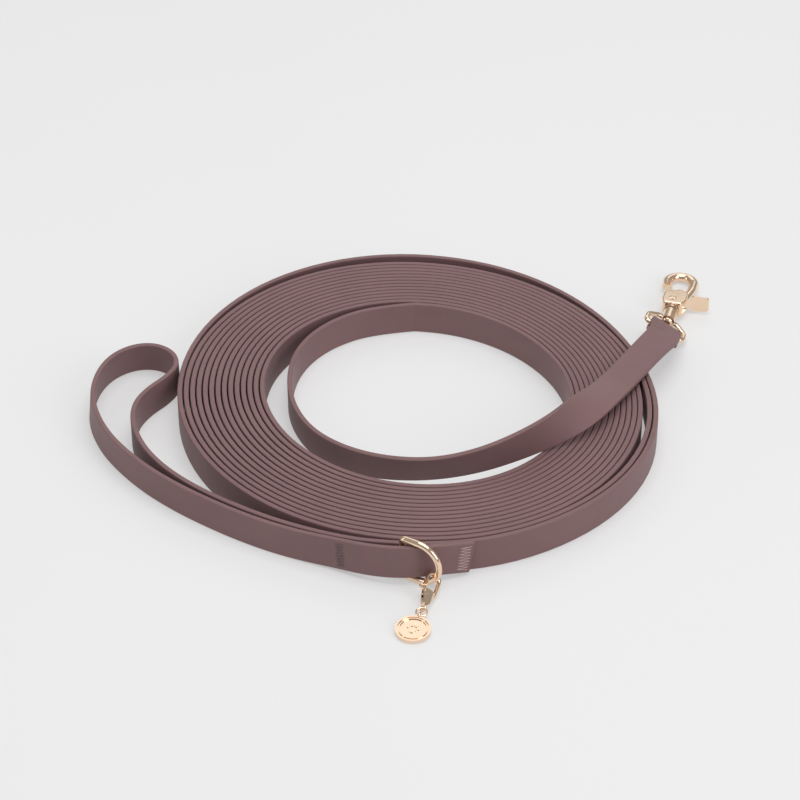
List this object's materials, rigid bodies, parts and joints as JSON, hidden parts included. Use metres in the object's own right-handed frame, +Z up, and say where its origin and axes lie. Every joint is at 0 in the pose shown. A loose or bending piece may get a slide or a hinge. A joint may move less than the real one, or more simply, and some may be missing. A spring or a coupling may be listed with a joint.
{
  "type": "training leash",
  "caption": "Long flat coated-strap training leash wound in an upright spiral coil, with a sewn hand loop, D-ring with a small medal charm, and a swivel trigger hook.",
  "frame": {"origin": "middle of the leash's footprint on the surface it lies on", "axes": "+Z up, +X towards the hook's side, -Y towards the D-ring and charm"},
  "size_m": [0.2974, 0.2751, 0.0342],
  "materials": {
    "strap": "matte coated webbing",
    "thread": "glossy bonded thread",
    "rose_gold": "polished rose-gold plate",
    "spring_steel": "drawn wire"
  },
  "bodies": {
    "strap": {"strap_coil": "strap", "strap_lead": "strap", "handle_inner_strand": "strap", "handle_bight": "strap", "handle_outer_strand": "strap", "strap_fold": "strap", "strap_tail": "strap", "bar_tack_end": "thread", "bar_tack_left": "thread", "bar_tack_hook": "thread"},
    "eye": {"swivel_eye": "rose_gold"},
    "hook": {"swivel_post": "rose_gold", "hook_body": "rose_gold", "gate_pin": "rose_gold", "gate_spring": "spring_steel"},
    "gate": {"trigger_gate": "rose_gold"},
    "ring": {"d_ring": "rose_gold"},
    "clasp": {"clasp_body": "rose_gold", "clasp_pin": "rose_gold", "clasp_spring": "spring_steel"},
    "clasp_lever": {"clasp_trigger": "rose_gold"},
    "link": {"jump_ring": "rose_gold"},
    "medal": {"medallion": "rose_gold"}
  },
  "joints": [
    {"name": "eye_fold", "type": "hinge", "parent": "strap", "child": "eye", "pos_m": [0.12436, 0.08043, 0.00825], "axis": [0.8493, -0.2633, -0.4576], "range_deg": [-60, 70]},
    {"name": "hook_swivel", "type": "hinge", "parent": "eye", "child": "hook", "pos_m": [0.12436, 0.08043, 0.00825], "axis": [0.2443, 0.9644, -0.1014], "continuous": true},
    {"name": "gate_pivot", "type": "hinge", "parent": "hook", "child": "gate", "pos_m": [0.13045, 0.10652, 0.00552], "axis": [-0.0249, -0.0983, -0.9948], "range_deg": [0, 24], "stiffness_Nm_per_rad": 0.03, "springref_deg": -28.65},
    {"name": "ring_swing", "type": "hinge", "parent": "strap", "child": "ring", "pos_m": [-0.0022, -0.0939, 0], "axis": [0, 0, -1], "range_deg": [-1, 85]},
    {"name": "clasp_swing", "type": "hinge", "parent": "ring", "child": "clasp", "pos_m": [0.01106, -0.10195, 0.00482], "axis": [0.596, -0.2809, 0.7523], "range_deg": [-60, 30]},
    {"name": "clasp_trigger", "type": "hinge", "parent": "clasp", "child": "clasp_lever", "pos_m": [0.00731, -0.1109, 0.00445], "axis": [0.596, -0.2809, 0.7523], "range_deg": [0, 22], "stiffness_Nm_per_rad": 0.002, "springref_deg": -22.92},
    {"name": "link_swing", "type": "hinge", "parent": "clasp", "child": "link", "pos_m": [0.00659, -0.11756, 0.00254], "axis": [-0.9511, 0.309, 0], "range_deg": [-35, 35]},
    {"name": "medal_swing", "type": "hinge", "parent": "link", "child": "medal", "pos_m": [0.00518, -0.12188, 0.00185], "axis": [-0.9511, 0.309, 0], "range_deg": [-70, 70]}
  ]
}
